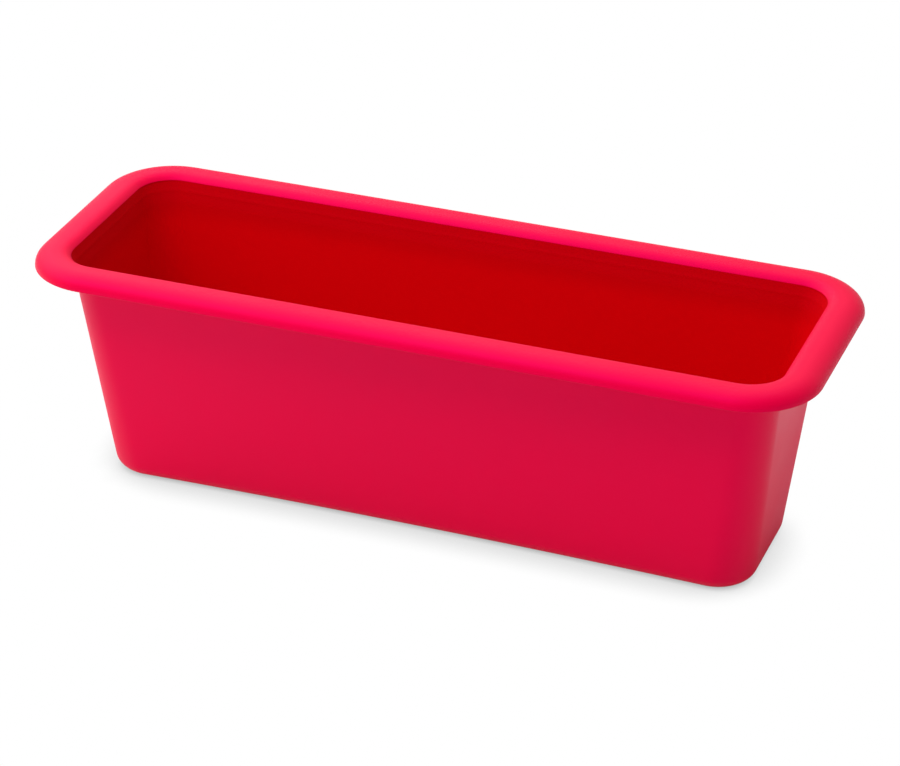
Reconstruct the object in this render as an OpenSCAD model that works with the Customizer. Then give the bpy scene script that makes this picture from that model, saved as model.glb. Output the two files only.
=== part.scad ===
// Flexible loaf mould for cold-process soap: a drafted one-shot tub with a broad domed rim,
// and a round wire ring moulded into the rim to keep it straight when the loaf is carried.
// Millimetres. Origin at the middle of the flat base, +X along the loaf, +Z up.

/* [Opening] */
// Length of the mouth, between the inner edges of the rim
opening_l = 227.6; // [180:0.1:280]
// Width of the mouth, between the inner edges of the rim
opening_w = 67.6; // [55:0.1:90]
// Corner radius of the mouth
opening_r = 11.2; // [8:0.1:16]

/* [Rim] */
// Height of the crest of the rim above the table
height = 78.5; // [60:0.5:100]
// Width of the rim, from its inner edge to its outer edge
rim_w = 11.2; // [9:0.1:14]
// Distance of the crest outwards from the inner edge
crest_out = 5; // [3.5:0.1:6]
// Fall of the dome from the crest towards the inner edge
inner_drop = 1.85; // [1.2:0.05:2.2]
// How late the dome turns down on the inner side: 2 is a parabola, more is flatter at the crest
inner_power = 3.5; // [2:0.1:4]
// Radius of the inner edge
inner_edge_r = 0.3; // [0.2:0.05:0.8]
// Fall of the dome from the crest to the outer edge
outer_drop = 4.2; // [4:0.1:6]
// Radius of the lower outer edge, where the two halves of the tool part
lip_edge_r = 0.4; // [0.2:0.1:1]
// Radius between the outside of the tub and the underside of the rim
under_rim_r = 2; // [1:0.5:3]

/* [Tub] */
// Distance of the outside of the tub under the rim inwards from the rim's inner edge
tub_inset = 0.2; // [0:0.1:0.6]
// How much nearer the middle each end is at the base than under the rim
end_taper = 7.9; // [4:0.1:12]
// How much nearer the middle each long side is at the base than under the rim
side_taper = 7.7; // [4:0.1:10]
// Outer corner radius of the tub at the base
tub_base_r = 13; // [9:0.5:18]
// Radius of the edge between the walls and the base
base_edge_r = 4.1; // [2:0.1:6]
// How far the middle of each long wall is drawn in at the base
pinch = 1.9; // [0:0.1:4]

/* [Inside] */
// Thickness of the walls under the rim
wall_top_t = 1.1; // [0.9:0.1:1.4]
// Thickness of the walls at the base
wall_base_t = 1.6; // [1.4:0.1:2]
// Thickness of the base
floor_t = 2; // [1.5:0.1:3]
// Radius between the inner walls and the floor
floor_edge_r = 3.4; // [2:0.1:5]
// Depth of the foot of the sloping face inside the mouth, below the crest
lip_foot_drop = 9; // [7:0.5:14]

/* [Wire ring] */
// Diameter of the steel wire in the rim
wire_d = 2.4; // [1.6:0.1:2.6]
// Distance of the wire's centre outwards from the inner edge of the rim
wire_out = 5.2; // [4.6:0.1:5.8]
// Depth of the wire's centre below the crest
wire_drop = 2.45; // [2.3:0.05:2.6]
// Radial gap between the wire and the channel that it was moulded into
wire_gap = 0.05; // [0.02:0.01:0.1]

/* [Hidden] */

SILICONE_RED = [0.84, 0.04, 0.23];
WIRE_STEEL = [0.72, 0.73, 0.75];

// Steps of each rounded corner seen from above and of each long side, then in section those of
// the large rounds, the round under the rim, the lip's lower edge, the inner edge and the walls,
// and the wire's facets.
corner_steps = 8;
side_steps = 10;
round_steps = 5;
fillet_steps = 3;
lip_steps = 3;
edge_steps = 2;
wall_steps = 6;
wire_facets = 48;

edge_z = height - outer_drop;
underside_z = edge_z - lip_edge_r;
lip_foot_z = height - lip_foot_drop;
inner_slope = atan(inner_power * inner_drop / crest_out);
inner_turn_out = inner_edge_r * (1 - sin(inner_slope));

// Rounded rectangle as [length, width, corner radius], grown outwards by g.
function grown(shape, g) = [shape[0] + 2 * g, shape[1] + 2 * g, shape[2] + g];

// The mouth of the mould, and the tub's outer shape at height z.
opening = [opening_l, opening_w, opening_r];
tub_top = grown(opening, -tub_inset);
tub_base = [tub_top[0] - 2 * end_taper, tub_top[1] - 2 * side_taper, tub_base_r];
function tub_at(z) = tub_base + (tub_top - tub_base) * z / underside_z;
function wall_at(z) = wall_base_t + (wall_top_t - wall_base_t) * z / underside_z;

// Height of the dome between the crest and the inner edge.
function flank_z(out) = height - inner_drop * pow((crest_out - out) / crest_out, inner_power);

// A station of the shell's surface is [shape, height]: one closed loop around the mould.
function rim_station(out, z) = [grown(opening, out), z];
function tub_station(inset, z) = [grown(tub_at(z), -inset), z];

// The surface from the middle of the base, up the outside, over the rim and down to the floor.
base_round = [for (a = [0:90 / round_steps:90])
    tub_station(base_edge_r * (1 - sin(a)), base_edge_r * (1 - cos(a)))];
outer_wall = [for (i = [1:wall_steps])
    tub_station(0, base_edge_r + (underside_z - under_rim_r - base_edge_r) * i / wall_steps)];
under_rim = [for (i = [1:fillet_steps])
    let (a = 90 * i / fillet_steps)
    tub_station(under_rim_r * (cos(a) - 1), underside_z - under_rim_r * (1 - sin(a)))];
lip_round = [for (i = [0:lip_steps - 1])
    let (a = -90 * (1 - i / lip_steps))
    rim_station(rim_w + lip_edge_r * (cos(a) - 1), edge_z + lip_edge_r * sin(a))];
outer_dome = [for (a = [0:90 / round_steps:90])
    rim_station(crest_out + (rim_w - crest_out) * cos(a), edge_z + outer_drop * sin(a))];
inner_flank = [for (i = [1:round_steps])
    let (out = crest_out + (inner_turn_out - crest_out) * i / round_steps)
    rim_station(out, flank_z(out))];
inner_edge = [for (i = [1:edge_steps])
    let (a = inner_slope + (90 - inner_slope) * i / edge_steps)
    rim_station(inner_edge_r * (1 - sin(a)),
        flank_z(inner_turn_out) - inner_edge_r * (cos(inner_slope) - cos(a)))];
inner_wall = [for (i = [0:wall_steps - 1])
    let (z = lip_foot_z + (floor_t + floor_edge_r - lip_foot_z) * i / wall_steps)
    tub_station(wall_at(z), z)];
floor_round = [for (a = [90:-90 / round_steps:0])
    let (z = floor_t + floor_edge_r * (1 - cos(a)))
    tub_station(wall_at(z) + floor_edge_r * (1 - sin(a)), z)];
stations = concat(base_round, outer_wall, under_rim, lip_round, outer_dome, inner_flank,
    inner_edge, inner_wall, floor_round);

// The long walls are drawn in most at the base and not at all at the rim.
function pinch_at(z) = pinch * max(0, 1 - z / underside_z);
function pinched(p, shape, z) =
    [p[0], p[1] * (1 - pinch_at(z) * max(0, 1 - pow(2 * p[0] / shape[0], 2)) * 2 / shape[1]), z];

// One corner's arc, counter-clockwise seen from above; corner 0 is at +X +Y.
function corner_arc(shape, corner) =
    let (
        x = (corner == 0 || corner == 3 ? 1 : -1) * (shape[0] / 2 - shape[2]),
        y = (corner < 2 ? 1 : -1) * (shape[1] / 2 - shape[2])
    )
    [for (i = [0:corner_steps])
        let (a = 90 * (corner + i / corner_steps))
        [x + shape[2] * cos(a), y + shape[2] * sin(a)]];

// The points between the two arcs at the ends of a long side, for the pinch to bend.
function side_run(shape, from_x, y) =
    [for (i = [1:side_steps - 1])
        [from_x * (shape[0] / 2 - shape[2]) * (1 - 2 * i / side_steps), y * shape[1] / 2]];

function station_loop(station) =
    let (shape = station[0], z = station[1])
    [for (p = concat(
        corner_arc(shape, 0), side_run(shape, 1, 1), corner_arc(shape, 1),
        corner_arc(shape, 2), side_run(shape, -1, -1), corner_arc(shape, 3)))
        pinched(p, shape, z)];

// Skins the loops, which all have the same number of points, and closes both ends.
module skin(loops) {
    count = len(loops[0]);
    last = len(loops) - 1;
    sides = [for (k = [0:last - 1], i = [0:count - 1], half = [0, 1])
        let (
            here = k * count + i,
            next = k * count + (i + 1) % count
        )
        half == 0 ? [here, here + count, next + count] : [here, next + count, next]];
    base_cap = [for (i = [0:count - 1]) i];
    floor_cap = [for (i = [count - 1:-1:0]) last * count + i];
    polyhedron([for (loop = loops) each loop], concat(sides, [base_cap, floor_cap]));
}

// A round bar bent to the rounded rectangle that the wire follows, with radius r.
module wire_path(r) {
    path = grown(opening, wire_out);
    run_l = path[0] - 2 * path[2];
    run_w = path[1] - 2 * path[2];
    translate([0, 0, height - wire_drop]) {
        for (side = [-1, 1]) {
            translate([-run_l / 2, side * path[1] / 2, 0])
                rotate([0, 90, 0])
                    cylinder(r = r, h = run_l, $fn = wire_facets);
            translate([side * path[0] / 2, run_w / 2, 0])
                rotate([90, 0, 0])
                    cylinder(r = r, h = run_w, $fn = wire_facets);
        }
        for (corner = [0:3])
            translate([
                (corner == 0 || corner == 3 ? 1 : -1) * run_l / 2,
                (corner < 2 ? 1 : -1) * run_w / 2,
                0
            ])
                rotate([0, 0, 90 * corner])
                    rotate_extrude(angle = 90, $fn = 2 * wire_facets)
                        translate([path[2], 0])
                            circle(r = r, $fn = wire_facets);
    }
}

// The silicone moulding: tub and domed rim in one shot, closed around the wire.
module mould_body() {
    color(SILICONE_RED)
        difference() {
            skin([for (station = stations) station_loop(station)]);
            wire_path(wire_d / 2 + wire_gap);
        }
}

// The stiffening ring: one length of steel wire, bent and butt-welded.
module rim_wire() {
    color(WIRE_STEEL)
        wire_path(wire_d / 2);
}

mould_body();
rim_wire();
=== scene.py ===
"""A flexible silicone loaf mould for soap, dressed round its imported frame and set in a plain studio."""

import logging
import math
from dataclasses import dataclass, field
from enum import Enum
from typing import Any, Iterable

import bmesh
import bpy
from mathutils import Matrix, Vector, noise


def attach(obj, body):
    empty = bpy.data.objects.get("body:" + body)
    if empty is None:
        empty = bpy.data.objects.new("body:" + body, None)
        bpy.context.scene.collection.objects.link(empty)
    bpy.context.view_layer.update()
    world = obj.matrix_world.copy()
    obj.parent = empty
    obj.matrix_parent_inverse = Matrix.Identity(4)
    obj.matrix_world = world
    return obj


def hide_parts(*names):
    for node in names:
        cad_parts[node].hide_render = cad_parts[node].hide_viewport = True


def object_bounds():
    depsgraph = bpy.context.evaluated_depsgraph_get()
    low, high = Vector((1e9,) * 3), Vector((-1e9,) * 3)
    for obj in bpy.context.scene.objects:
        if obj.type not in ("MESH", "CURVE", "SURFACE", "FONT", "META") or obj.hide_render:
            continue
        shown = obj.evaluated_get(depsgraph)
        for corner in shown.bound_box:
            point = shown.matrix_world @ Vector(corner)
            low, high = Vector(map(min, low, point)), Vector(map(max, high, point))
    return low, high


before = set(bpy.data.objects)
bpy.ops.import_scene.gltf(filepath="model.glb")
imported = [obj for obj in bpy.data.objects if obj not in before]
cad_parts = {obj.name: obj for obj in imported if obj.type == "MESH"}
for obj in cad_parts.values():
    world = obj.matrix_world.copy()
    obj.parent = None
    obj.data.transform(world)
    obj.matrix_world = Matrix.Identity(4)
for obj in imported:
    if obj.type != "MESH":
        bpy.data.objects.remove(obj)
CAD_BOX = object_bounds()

LOG = logging.getLogger("soap_loaf_mould")
MM = 0.001
OUTSIDE, INSIDE = 0, 1
SMALLEST_RADIUS = 0.2 * MM
# Most of a noise texture's values lie between these two.
NOISE_LOW, NOISE_HIGH = 0.3, 0.7
BODY = "root"


class Node(Enum):
    """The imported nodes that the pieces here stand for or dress."""

    MOULD = "mould_body"
    WIRE = "rim_wire"


class Slot(Enum):
    """The record's material slots."""

    SILICONE = "silicone"
    STEEL = "wire_steel"


# ---------------------------------------------------------------------------------------------
# Colour and shader helpers
# ---------------------------------------------------------------------------------------------


def linear_colour(code: str) -> tuple[float, float, float, float]:
    """Turns an sRGB hex code into the linear colour that shaders take.

    Args:
        code: the colour as "#RRGGBB".

    Returns:
        Linear red, green, blue and an alpha of one.
    """
    levels = [int(code[i : i + 2], 16) / 255 for i in (1, 3, 5)]
    linear = [v / 12.92 if v <= 0.04045 else ((v + 0.055) / 1.055) ** 2.4 for v in levels]
    return (linear[0], linear[1], linear[2], 1.0)


def add_node(
    tree: bpy.types.NodeTree,
    kind: str,
    inputs: dict[str, Any] | None = None,
    **settings: Any,
) -> bpy.types.Node:
    """Adds one shader node with its settings, and its inputs as values or as links.

    Args:
        tree: the node tree to add to.
        kind: the node's type, such as "ShaderNodeBump".
        inputs: by socket name, a value, or another node's output socket to link from.
        settings: the node's own properties.

    Returns:
        The new node.
    """
    node = tree.nodes.new(kind)
    for name, value in settings.items():
        setattr(node, name, value)
    for name, value in (inputs or {}).items():
        socket = next(s for s in node.inputs if s.name == name and s.enabled)
        if isinstance(value, bpy.types.NodeSocket):
            tree.links.new(value, socket)
        else:
            socket.default_value = value
    return node


def new_material(name: str) -> bpy.types.Material:
    """Makes a material with an empty node tree."""
    material = bpy.data.materials.new(name)
    material.use_nodes = True
    material.node_tree.nodes.clear()
    return material


# ---------------------------------------------------------------------------------------------
# Finishes
# ---------------------------------------------------------------------------------------------


@dataclass(frozen=True)
class MouldedSilicone:
    """Silicone rubber, pigmented crimson, with the skin that a spark-eroded steel tool leaves.

    The skin is satin with no mirror reflection. The pigment takes nearly all green and blue, so
    the colour is deep where only red light comes back. It turns pinker where the skin reflects
    the white surroundings. The tint of the reflection is chosen for its look: real silicone
    reflects white.
    """

    name: str = "silicone_rubber_crimson_moulded"
    pigment: str = "#CE002E"
    pigment_deep: str = "#C8002A"
    reflection_tint: str = "#FF00FF"
    ior: float = 1.41
    gloss: float = 0.32
    roughness_low: float = 0.50
    roughness_high: float = 0.58
    grain: float = 0.7 * MM
    grain_depth: float = 0.004 * MM
    mottle: float = 45 * MM

    def tone(
        self, tree: bpy.types.NodeTree, place: bpy.types.NodeSocket, mottle: bpy.types.NodeSocket
    ) -> bpy.types.NodeSocket:
        """Gives the pigment its slow unevenness.

        Args:
            tree: the material's node tree.
            place: the place on the moulding, in metres; not used here.
            mottle: the slow noise, from 0 to 1.

        Returns:
            The colour.
        """
        colour = add_node(
            tree,
            "ShaderNodeMix",
            {
                "Factor": mottle,
                "A": linear_colour(self.pigment_deep),
                "B": linear_colour(self.pigment),
            },
            data_type="RGBA",
        )
        return colour.outputs["Result"]

    def build(self) -> bpy.types.Material:
        """Makes the material.

        Returns:
            The silicone material, in object coordinates of one metre to the unit.
        """
        material = new_material(self.name)
        tree = material.node_tree
        place = add_node(tree, "ShaderNodeTexCoord")
        # Slow unevenness of the pigment and of the tool's texture over the whole moulding.
        mottle = add_node(
            tree,
            "ShaderNodeTexNoise",
            {"Vector": place.outputs["Object"], "Scale": 1 / self.mottle, "Detail": 3.0},
        )
        colour = self.tone(tree, place.outputs["Object"], mottle.outputs["Fac"])
        satin = add_node(
            tree,
            "ShaderNodeMapRange",
            {
                "Value": mottle.outputs["Fac"],
                "From Min": NOISE_LOW,
                "From Max": NOISE_HIGH,
                "To Min": self.roughness_low,
                "To Max": self.roughness_high,
            },
        )
        # The eroded grain is about 0.1 mm on the real skin, drawn coarser so that it shows.
        grain = add_node(
            tree,
            "ShaderNodeTexNoise",
            {"Vector": place.outputs["Object"], "Scale": 1 / self.grain, "Detail": 2.0},
        )
        bump = add_node(
            tree,
            "ShaderNodeBump",
            {"Strength": 1.0, "Distance": self.grain_depth, "Height": grain.outputs["Fac"]},
        )
        skin = add_node(
            tree,
            "ShaderNodeBsdfPrincipled",
            {
                "Base Color": colour,
                "Roughness": satin.outputs["Result"],
                "IOR": self.ior,
                "Specular IOR Level": self.gloss,
                "Specular Tint": linear_colour(self.reflection_tint),
                "Normal": bump.outputs["Normal"],
            },
        )
        add_node(tree, "ShaderNodeOutputMaterial", {"Surface": skin.outputs["BSDF"]})
        return material


@dataclass(frozen=True)
class BlastedSilicone(MouldedSilicone):
    """The same rubber on the inside: a duller skin, and a purer, deeper red that is painted shade.

    The duller skin is drawn as if the tool's core were blasted so that soap lets go, which is
    assumed. The deeper red stands in for the shade and the red light bounced round inside the
    cavity. It is not another pigment, and it darkens further towards the rim.
    """

    name: str = "silicone_rubber_crimson_blasted_painted_shade"
    # Painted shade: the lining's pigment is darker and purer than the outside's, in place of the shade
    # and the bounced red light inside the cavity.
    pigment: str = "#C80000"
    pigment_deep: str = "#C20000"
    # Painted shade: the lining turns a darker red over its top, in place of the glow that thin walls may
    # let through and the thick rim doesn't.
    rim_painted_shade: str = "#B20000"
    painted_shade_from: float = 62 * MM
    painted_shade_full: float = 73 * MM
    gloss: float = 0.1
    roughness_low: float = 0.62
    roughness_high: float = 0.70

    def tone(
        self, tree: bpy.types.NodeTree, place: bpy.types.NodeSocket, mottle: bpy.types.NodeSocket
    ) -> bpy.types.NodeSocket:
        """Paints shade into the pigment near the rim, darker towards the top.

        The painted shade stands in for light in the rubber, which isn't worked out here: thin
        walls may glow a little, and the thick rim hardly.

        Args:
            tree: the material's node tree.
            place: the place on the moulding, in metres.
            mottle: the slow noise, from 0 to 1.

        Returns:
            The colour.
        """
        height = add_node(tree, "ShaderNodeSeparateXYZ", {"Vector": place})
        # Mask of the painted shade near the rim, by height: none low on the wall, full at the top.
        thickness = add_node(
            tree,
            "ShaderNodeMapRange",
            {
                "Value": height.outputs["Z"],
                "From Min": self.painted_shade_from,
                "From Max": self.painted_shade_full,
            },
            interpolation_type="SMOOTHSTEP",
        )
        colour = add_node(
            tree,
            "ShaderNodeMix",
            {
                "Factor": thickness.outputs["Result"],
                "A": super().tone(tree, place, mottle),
                "B": linear_colour(self.rim_painted_shade),
            },
            data_type="RGBA",
        )
        return colour.outputs["Result"]


@dataclass(frozen=True)
class DrawnSteel:
    """Stainless steel wire, cold-drawn through a die: bright, with fine scores along its length."""

    name: str = "stainless_steel_drawn_wire"
    steel: str = "#B9BABC"
    steel_scored: str = "#9C9EA2"
    roughness_low: float = 0.22
    roughness_high: float = 0.36
    score: float = 0.25 * MM
    score_length: float = 9 * MM
    score_depth: float = 0.02 * MM
    score_strength: float = 0.6

    def build(self) -> bpy.types.Material:
        """Makes the material.

        Returns:
            The steel material, with its scores along the longer runs of the ring.
        """
        material = new_material(self.name)
        tree = material.node_tree
        place = add_node(tree, "ShaderNodeTexCoord")
        # Long thin noise along X, the way the wire went through the die on the long runs.
        stretch = add_node(
            tree,
            "ShaderNodeMapping",
            {
                "Vector": place.outputs["Object"],
                "Scale": Vector((1 / self.score_length, 1 / self.score, 1 / self.score)),
            },
        )
        scores = add_node(
            tree,
            "ShaderNodeTexNoise",
            {"Vector": stretch.outputs["Vector"], "Scale": 1.0, "Detail": 4.0},
        )
        colour = add_node(
            tree,
            "ShaderNodeMix",
            {
                "Factor": scores.outputs["Fac"],
                "A": linear_colour(self.steel_scored),
                "B": linear_colour(self.steel),
            },
            data_type="RGBA",
        )
        drawn = add_node(
            tree,
            "ShaderNodeMapRange",
            {
                "Value": scores.outputs["Fac"],
                "From Min": NOISE_LOW,
                "From Max": NOISE_HIGH,
                "To Min": self.roughness_high,
                "To Max": self.roughness_low,
            },
        )
        bump = add_node(
            tree,
            "ShaderNodeBump",
            {
                "Strength": self.score_strength,
                "Distance": self.score_depth,
                "Height": scores.outputs["Fac"],
            },
        )
        metal = add_node(
            tree,
            "ShaderNodeBsdfPrincipled",
            {
                "Base Color": colour.outputs["Result"],
                "Metallic": 1.0,
                "Roughness": drawn.outputs["Result"],
                "Normal": bump.outputs["Normal"],
            },
        )
        add_node(tree, "ShaderNodeOutputMaterial", {"Surface": metal.outputs["BSDF"]})
        return material


@dataclass(frozen=True)
class StudioPaper:
    """Seamless white paper, lit until it burns out: all that stays is a grey contact shadow.

    The shadow follows how closed-in the paper is. The lights don't cast it.
    """

    name: str = "studio_paper_white"
    paper: str = "#EFEFEF"
    burnt_out: str = "#FFFFFF"
    shadow_reach: float = 22 * MM
    shadow_starts: float = 0.74
    darkest: float = 0.40
    rays: int = 16

    def build(self) -> bpy.types.Material:
        """Makes the paper material.

        Returns:
            Paper that lights the mould as a pale sheet does, and shows as plain white.
        """
        material = new_material(self.name)
        tree = material.node_tree
        sheet = add_node(
            tree, "ShaderNodeBsdfDiffuse", {"Color": linear_colour(self.paper), "Roughness": 0.0}
        )
        openness = add_node(
            tree, "ShaderNodeAmbientOcclusion", {"Distance": self.shadow_reach}, samples=self.rays
        )
        light = add_node(
            tree,
            "ShaderNodeMapRange",
            {
                "Value": openness.outputs["AO"],
                "From Max": self.shadow_starts,
                "To Min": self.darkest,
                "To Max": 1.0,
            },
        )
        glow = add_node(
            tree,
            "ShaderNodeEmission",
            {"Color": linear_colour(self.burnt_out), "Strength": light.outputs["Result"]},
        )
        seen = add_node(tree, "ShaderNodeLightPath")
        both = add_node(tree, "ShaderNodeMixShader", {"Fac": seen.outputs["Is Camera Ray"]})
        tree.links.new(sheet.outputs["BSDF"], both.inputs[1])
        tree.links.new(glow.outputs["Emission"], both.inputs[2])
        add_node(tree, "ShaderNodeOutputMaterial", {"Surface": both.outputs["Shader"]})
        return material


# ---------------------------------------------------------------------------------------------
# Shapes
# ---------------------------------------------------------------------------------------------


@dataclass(frozen=True)
class RoundedRectangle:
    """A rounded rectangle seen from above, centred on the mould's upright axis."""

    length: float
    width: float
    radius: float

    def grown(self, out: float) -> "RoundedRectangle":
        """The same shape with its edge moved outwards, or inwards if out is negative."""
        return RoundedRectangle(
            self.length + 2 * out, self.width + 2 * out, max(self.radius + out, SMALLEST_RADIUS)
        )

    def mixed(self, other: "RoundedRectangle", share: float) -> "RoundedRectangle":
        """A shape between this one, at a share of zero, and the other one, at a share of one."""
        return RoundedRectangle(
            self.length + (other.length - self.length) * share,
            self.width + (other.width - self.width) * share,
            self.radius + (other.radius - self.radius) * share,
        )


@dataclass(frozen=True)
class LoopSteps:
    """How finely a loop round the mould is divided."""

    corner: int = 20
    long_side: int = 72
    short_side: int = 20

    def points(self, shape: RoundedRectangle) -> list[tuple[float, float]]:
        """Places a loop's points, counter-clockwise seen from above, from the +X end of +Y.

        Args:
            shape: the rounded rectangle to follow.

        Returns:
            The points' x and y, the same number for every shape.
        """
        points: list[tuple[float, float]] = []
        flat_x = shape.length / 2 - shape.radius
        flat_y = shape.width / 2 - shape.radius
        for quarter in range(4):
            side_x = 1 if quarter in (0, 3) else -1
            side_y = 1 if quarter < 2 else -1
            for step in range(self.corner + 1):
                angle = math.radians(90) * (quarter + step / self.corner)
                points.append(
                    (
                        side_x * flat_x + shape.radius * math.cos(angle),
                        side_y * flat_y + shape.radius * math.sin(angle),
                    )
                )
            along_x = quarter in (0, 2)
            steps = self.long_side if along_x else self.short_side
            for step in range(1, steps):
                run = 1 - 2 * step / steps
                if along_x:
                    points.append((side_x * flat_x * run, side_y * shape.width / 2))
                else:
                    points.append((side_x * shape.length / 2, side_y * flat_y * run))
        return points

    def count(self) -> int:
        """The number of points in a loop."""
        return 4 * (self.corner + 1) + 2 * (self.long_side - 1) + 2 * (self.short_side - 1)


@dataclass(frozen=True)
class Station:
    """One loop of the shell's surface: its shape seen from above and its height."""

    shape: RoundedRectangle
    height: float


def spread(start: float, end: float, steps: int, keep_start: bool = False) -> list[float]:
    """Evenly spaced values that end on end, with start left out unless it is kept."""
    first = 0 if keep_start else 1
    return [start + (end - start) * i / steps for i in range(first, steps + 1)]


# ---------------------------------------------------------------------------------------------
# The mould
# ---------------------------------------------------------------------------------------------


@dataclass
class SiliconeMould:
    """The one-shot silicone moulding: drafted tub, sloping lip inside the mouth, domed rim."""

    box_length: float
    box_width: float
    height: float
    finish: MouldedSilicone = field(default_factory=MouldedSilicone)
    lining: MouldedSilicone = field(default_factory=BlastedSilicone)
    steps: LoopSteps = field(default_factory=LoopSteps)

    rim_width: float = 11.2 * MM
    mouth_radius: float = 11.2 * MM
    crest_out: float = 5.0 * MM
    inner_drop: float = 1.85 * MM
    inner_power: float = 3.5
    inner_edge: float = 0.3 * MM
    outer_drop: float = 4.2 * MM
    lip_radius: float = 0.4 * MM
    flash: float = 0.08 * MM
    flash_turn: float = -22.5

    tub_inset: float = 0.2 * MM
    end_taper: float = 7.9 * MM
    side_taper: float = 7.7 * MM
    base_radius: float = 13.0 * MM
    base_edge: float = 4.1 * MM
    base_insets_mm: tuple[float, ...] = (16.0, 13.0, 9.0, 5.0, 2.0, 0.6)
    pinch: float = 1.9 * MM
    under_rim_fillet: float = 2.0 * MM

    wall_top: float = 1.1 * MM
    wall_base: float = 1.6 * MM
    floor: float = 2.0 * MM
    floor_edge: float = 3.4 * MM
    floor_insets_mm: tuple[float, ...] = (0.6, 2.0, 5.0, 9.0, 12.5, 16.0)
    lip_foot_drop: float = 9.0 * MM
    lip_power: float = 1.3
    witness_drop: float = 5.0 * MM
    witness_half: float = 0.6 * MM
    witness_stand: float = 0.06 * MM

    lift: float = 0.05 * MM
    droop: float = 0.15 * MM
    sway: float = 0.12 * MM
    sway_length: float = 70 * MM
    sway_seed: int = 7

    @property
    def mouth(self) -> RoundedRectangle:
        """The mouth between the inner edges of the rim."""
        return RoundedRectangle(
            self.box_length - 2 * self.rim_width,
            self.box_width - 2 * self.rim_width,
            self.mouth_radius,
        )

    @property
    def edge_height(self) -> float:
        """The height of the rim's outermost line."""
        return self.height - self.outer_drop

    @property
    def underside(self) -> float:
        """The height of the rim's flat underside."""
        return self.edge_height - self.lip_radius

    @property
    def base(self) -> RoundedRectangle:
        """The tub's outer shape at the base, before its edge is rounded."""
        top = self.mouth.grown(-self.tub_inset)
        return RoundedRectangle(
            top.length - 2 * self.end_taper, top.width - 2 * self.side_taper, self.base_radius
        )

    def tub(self, height: float, inset: float = 0.0) -> RoundedRectangle:
        """The tub's outer shape at a height, moved inwards by inset."""
        top = self.mouth.grown(-self.tub_inset)
        return self.base.mixed(top, height / self.underside).grown(-inset)

    def wall(self, height: float) -> float:
        """The wall's thickness at a height: thin under the rim, and thicker at the base."""
        return self.wall_base + (self.wall_top - self.wall_base) * height / self.underside

    def base_stations(self) -> Iterable[Station]:
        """The underside of the base, from near its middle out, and round its edge."""
        for inset in self.base_insets_mm:
            yield Station(self.tub(0.0, self.base_edge + inset * MM), 0.0)
        for turn in spread(0, math.radians(90), 10, keep_start=True):
            height = self.base_edge * (1 - math.cos(turn))
            yield Station(self.tub(height, self.base_edge * (1 - math.sin(turn))), height)

    def outer_wall_stations(self) -> Iterable[Station]:
        """The outside of the walls, up to the fillet under the rim, and the rim's underside."""
        fillet = self.under_rim_fillet
        for height in spread(self.base_edge, self.underside - fillet, 24):
            yield Station(self.tub(height), height)
        for turn in spread(0, math.radians(90), 5):
            height = self.underside - fillet * (1 - math.sin(turn))
            yield Station(self.tub(height, -fillet * (1 - math.cos(turn))), height)
        inner = self.tub(self.underside, -fillet)
        outer = self.mouth.grown(self.rim_width - self.lip_radius)
        for share in spread(0, 1, 6):
            yield Station(inner.mixed(outer, share), self.underside)

    def rim_stations(self) -> Iterable[Station]:
        """The rim's lower edge with its parting line, its dome, and its inner edge."""
        mouth = self.mouth
        for turn in spread(math.radians(-90), 0, 4):
            out = self.rim_width - self.lip_radius * (1 - math.cos(turn))
            on_flash = abs(turn - math.radians(self.flash_turn)) < math.radians(1)
            out += self.flash if on_flash else 0.0
            yield Station(mouth.grown(out), self.edge_height + self.lip_radius * math.sin(turn))
        reach = self.rim_width - self.crest_out
        for turn in spread(0, math.radians(90), 16):
            yield Station(
                mouth.grown(self.crest_out + reach * math.cos(turn)),
                self.edge_height + self.outer_drop * math.sin(turn),
            )
        slope = math.atan(self.inner_power * self.inner_drop / self.crest_out)
        turn_out = self.inner_edge * (1 - math.sin(slope))
        for out in spread(self.crest_out, turn_out, 20):
            fall = self.inner_drop * (1 - out / self.crest_out) ** self.inner_power
            yield Station(mouth.grown(out), self.height - fall)
        for turn in spread(slope, math.radians(90), 7):
            drop = self.inner_edge * (math.cos(slope) - math.cos(turn))
            yield Station(
                mouth.grown(self.inner_edge * (1 - math.sin(turn))), self.height - fall - drop
            )

    def lip_stations(self, start: float) -> Iterable[Station]:
        """The face inside the mouth, which leans in until it meets the wall's own slope.

        A faint witness line runs round it, where the core of the tool met its top ring.

        Args:
            start: the height where the rim's inner edge ends.

        Yields:
            The face's loops, from the top down.
        """
        foot = self.height - self.lip_foot_drop
        gap = (self.mouth.width - self.tub(start, self.wall(start)).width) / 2
        for share in spread(0, 1, 26):
            height = start + (foot - start) * share
            off = (self.height - self.witness_drop - height) / self.witness_half
            inset = self.wall(height) - gap * (1 - share) ** self.lip_power
            inset += self.witness_stand * math.exp(-off * off)
            yield Station(self.tub(height, inset), height)

    def inside_stations(self) -> Iterable[Station]:
        """The inner walls, the round at the floor, and the floor to near its middle."""
        start = self.height - self.lip_foot_drop
        for height in spread(start, self.floor + self.floor_edge, 24):
            yield Station(self.tub(height, self.wall(height)), height)
        for turn in spread(math.radians(90), 0, 10):
            height = self.floor + self.floor_edge * (1 - math.cos(turn))
            inset = self.wall(height) + self.floor_edge * (1 - math.sin(turn))
            yield Station(self.tub(height, inset), height)
        for inset in self.floor_insets_mm:
            shape = self.tub(self.floor, self.wall_base + self.floor_edge + inset * MM)
            yield Station(shape, self.floor)

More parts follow.
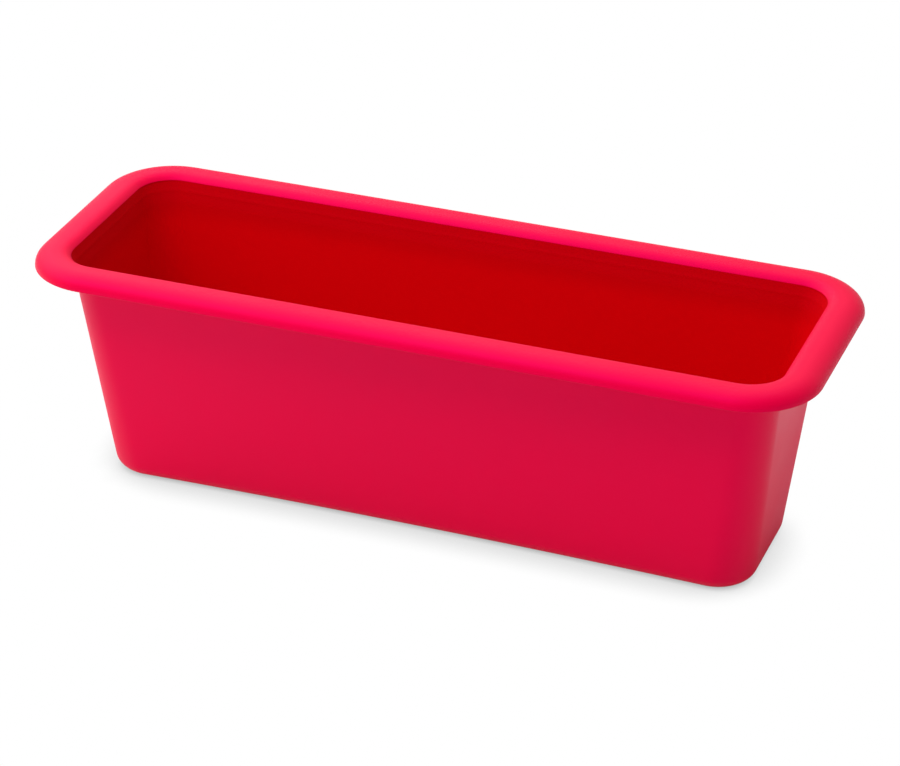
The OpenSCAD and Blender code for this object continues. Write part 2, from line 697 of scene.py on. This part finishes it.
    def relaxed(self, x: float, y: float, shape: RoundedRectangle, height: float) -> Vector:
        """Where a point of the tool's shape comes to rest in the soft moulding.

        The rim keeps its outline, though its ends lie a little lower than its middle. Below it
        the long walls are drawn in towards the base, and sway a little as thin rubber does.

        Args:
            x: the point's place along the mould.
            y: the point's place across the mould.
            shape: the loop that the point is on.
            height: the loop's height.

        Returns:
            The point's place.
        """
        looseness = max(0.0, 1 - height / self.underside)
        middle = max(0.0, 1 - (2 * x / shape.length) ** 2)
        drawn_in = self.pinch * looseness * middle * 2 / shape.width
        held = min(1.0, height / self.underside, 4 * looseness)
        cell = Vector((x, y, height)) / self.sway_length
        sway = noise.noise_vector(cell) * self.sway * max(0.0, held)
        ends = (2 * x / self.box_length) ** 2
        settled = (self.lift - self.droop * ends) * min(1.0, height / self.underside)
        return Vector((x + sway.x, y * (1 - drawn_in) + sway.y, height + settled))

    def mesh(self) -> bpy.types.Mesh:
        """Skins the stations into one closed mesh.

        Returns:
            The moulding's mesh, smooth-shaded.
        """
        rim = list(self.rim_stations())
        outside = [*self.base_stations(), *self.outer_wall_stations(), *rim]
        inside = [*self.lip_stations(rim[-1].height), *self.inside_stations()]
        stations = outside + inside
        noise.seed_set(self.sway_seed)
        shell = bmesh.new()
        loops = [
            [
                shell.verts.new(self.relaxed(x, y, station.shape, station.height))
                for x, y in self.steps.points(station.shape)
            ]
            for station in stations
        ]
        count = self.steps.count()
        for ring, (lower, upper) in enumerate(zip(loops, loops[1:]), start=1):
            for i in range(count):
                j = (i + 1) % count
                face = shell.faces.new((lower[i], lower[j], upper[j], upper[i]))
                face.material_index = INSIDE if ring >= len(outside) else OUTSIDE
        self.close(shell, loops[0], OUTSIDE)
        self.close(shell, loops[-1], INSIDE)
        bmesh.ops.recalc_face_normals(shell, faces=shell.faces)
        for face in shell.faces:
            face.smooth = True
        mesh = bpy.data.meshes.new("silicone_mould")
        shell.to_mesh(mesh)
        shell.free()
        return mesh

    def close(
        self, shell: bmesh.types.BMesh, loop: list[bmesh.types.BMVert], finish: int
    ) -> None:
        """Closes a flat loop with a fan of triangles round its middle.

        Args:
            shell: the mesh to add to.
            loop: the loop's points, in order.
            finish: the index of the piece's material that the fan takes.
        """
        middle = shell.verts.new(sum((vert.co for vert in loop), Vector()) / len(loop))
        for here, after in zip(loop, loop[1:] + loop[:1]):
            shell.faces.new((middle, here, after)).material_index = finish

    def build(self) -> bpy.types.Object:
        """Makes the moulding and puts it in the frame in place of its node.

        Returns:
            The moulding.
        """
        piece = bpy.data.objects.new("silicone_mould", self.mesh())
        bpy.context.scene.collection.objects.link(piece)
        for finish in (self.finish, self.lining):
            piece.data.materials.append(finish.build())
        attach(piece, BODY)
        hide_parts(Node.MOULD.value)
        return piece


@dataclass
class StiffeningRing:
    """The steel wire ring that is moulded into the rim."""

    finish: DrawnSteel = field(default_factory=DrawnSteel)

    def dress(self) -> bpy.types.Object:
        """Gives the ring's own node its finish.

        Returns:
            The ring.
        """
        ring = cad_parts[Node.WIRE.value]
        ring.data.materials.clear()
        ring.data.materials.append(self.finish.build())
        return ring


# ---------------------------------------------------------------------------------------------
# The studio
# ---------------------------------------------------------------------------------------------


@dataclass
class Softbox:
    """One square, diffused light, aimed at a point."""

    name: str
    place: Vector
    aim: Vector
    side: float
    radiance: float

    def build(self) -> bpy.types.Object:
        """Makes the light, with the power that gives its face its radiance."""
        data = bpy.data.lights.new(self.name, "AREA")
        data.shape = "RECTANGLE"
        data.size = data.size_y = self.side
        data.energy = self.radiance * math.pi * self.side * self.side
        light = bpy.data.objects.new(self.name, data)
        light.location = self.place
        light.rotation_euler = (self.aim - self.place).to_track_quat("-Z", "Y").to_euler()
        light.visible_camera = False
        bpy.context.scene.collection.objects.link(light)
        return light


@dataclass
class Studio:
    """A white paper floor in a dim tent, under a broad softbox and a small, bright one."""

    paper: StudioPaper = field(default_factory=StudioPaper)
    floor_half: float = 2.5
    floor_gap: float = 0.02 * MM
    cloth: str = "#FFFFFF"
    cloth_strength: float = 0.62
    broad_place: tuple[float, float, float] = (-0.40, 0.11, 0.80)
    broad_side: float = 1.55
    broad_radiance: float = 1.9
    small_place: tuple[float, float, float] = (-0.28, -0.36, 0.76)
    small_side: float = 0.35
    small_radiance: float = 8.0

    def build_floor(self) -> bpy.types.Object:
        """Lays the paper that the mould stands on."""
        sheet = bmesh.new()
        bmesh.ops.create_grid(sheet, x_segments=8, y_segments=8, size=self.floor_half)
        mesh = bpy.data.meshes.new("paper_floor")
        sheet.to_mesh(mesh)
        sheet.free()
        floor = bpy.data.objects.new("paper_floor", mesh)
        floor.location.z = CAD_BOX[0].z - self.floor_gap
        mesh.materials.append(self.paper.build())
        bpy.context.scene.collection.objects.link(floor)
        return floor

    def build_tent(self) -> None:
        """Sets the tent's cloth: dim where it lights the mould, plain white where it is seen."""
        world = bpy.data.worlds.new("light_tent")
        world.use_nodes = True
        world.node_tree.nodes.clear()
        tree = world.node_tree
        tent, backdrop = (
            add_node(
                tree,
                "ShaderNodeBackground",
                {"Color": linear_colour(self.cloth), "Strength": strength},
            )
            for strength in (self.cloth_strength, 1.0)
        )
        seen = add_node(tree, "ShaderNodeLightPath")
        both = add_node(tree, "ShaderNodeMixShader", {"Fac": seen.outputs["Is Camera Ray"]})
        tree.links.new(tent.outputs["Background"], both.inputs[1])
        tree.links.new(backdrop.outputs["Background"], both.inputs[2])
        add_node(tree, "ShaderNodeOutputWorld", {"Surface": both.outputs["Shader"]})
        bpy.context.scene.world = world

    def build_lights(self) -> None:
        """Hangs both softboxes to the left, the broad one overhead and the small one in front."""
        middle = Vector((0, 0, CAD_BOX[1].z / 2))
        for name, place, side, radiance in (
            ("top_softbox", self.broad_place, self.broad_side, self.broad_radiance),
            ("front_softbox", self.small_place, self.small_side, self.small_radiance),
        ):
            Softbox(name, Vector(place), middle, side, radiance).build()

    def build(self) -> None:
        """Builds the floor, the tent and the lights, and sets how the picture is developed."""
        self.build_floor()
        self.build_tent()
        self.build_lights()
        view = bpy.context.scene.view_settings
        view.view_transform = "Standard"
        view.look = "None"
        view.exposure = 0.0
        view.gamma = 1.0


@dataclass
class ProductCamera:
    """A long lens, well back, looking down on one long side and the mould's +X end."""

    azimuth: float = 20.59
    elevation: float = 28.626
    roll: float = 0.237
    distance: float = 1039.8 * MM
    aim_right: float = 1.747 * MM
    aim_up: float = 0.469 * MM
    lens: float = 134.25

    def build(self) -> bpy.types.Object:
        """Makes the camera and gives it to the scene.

        Returns:
            The camera.
        """
        azimuth, elevation = math.radians(self.azimuth), math.radians(self.elevation)
        back = Vector(
            (
                math.sin(azimuth) * math.cos(elevation),
                -math.cos(azimuth) * math.cos(elevation),
                math.sin(elevation),
            )
        )
        level = (-back).cross(Vector((0, 0, 1))).normalized()
        right = Matrix.Rotation(-math.radians(self.roll), 3, -back) @ level
        up = back.cross(right)
        middle = Vector((0, 0, (CAD_BOX[0].z + CAD_BOX[1].z) / 2))
        place = middle + right * self.aim_right + up * self.aim_up + back * self.distance
        data = bpy.data.cameras.new("product_camera")
        data.lens = self.lens
        data.clip_start = self.distance / 20
        data.clip_end = self.distance * 40
        camera = bpy.data.objects.new("product_camera", data)
        turn = Matrix((right, up, back)).transposed().to_4x4()
        camera.matrix_world = Matrix.Translation(place) @ turn
        bpy.context.scene.collection.objects.link(camera)
        bpy.context.scene.camera = camera
        return camera


def main() -> None:
    """Builds the mould, its ring, the studio and the camera, and reports each piece."""
    logging.basicConfig(level=logging.INFO, format="%(name)s: %(message)s")
    size = CAD_BOX[1] - CAD_BOX[0]
    mould = SiliconeMould(box_length=size.x, box_width=size.y, height=size.z).build()
    LOG.info("%s: %d faces", mould.name, len(mould.data.polygons))
    ring = StiffeningRing().dress()
    LOG.info("%s: dressed as %s", ring.name, ring.data.materials[0].name)
    Studio().build()
    LOG.info("studio: paper floor and light tent")
    camera = ProductCamera().build()
    LOG.info("%s: %.1f mm lens", camera.name, camera.data.lens)


if __name__ == "__main__":
    main()
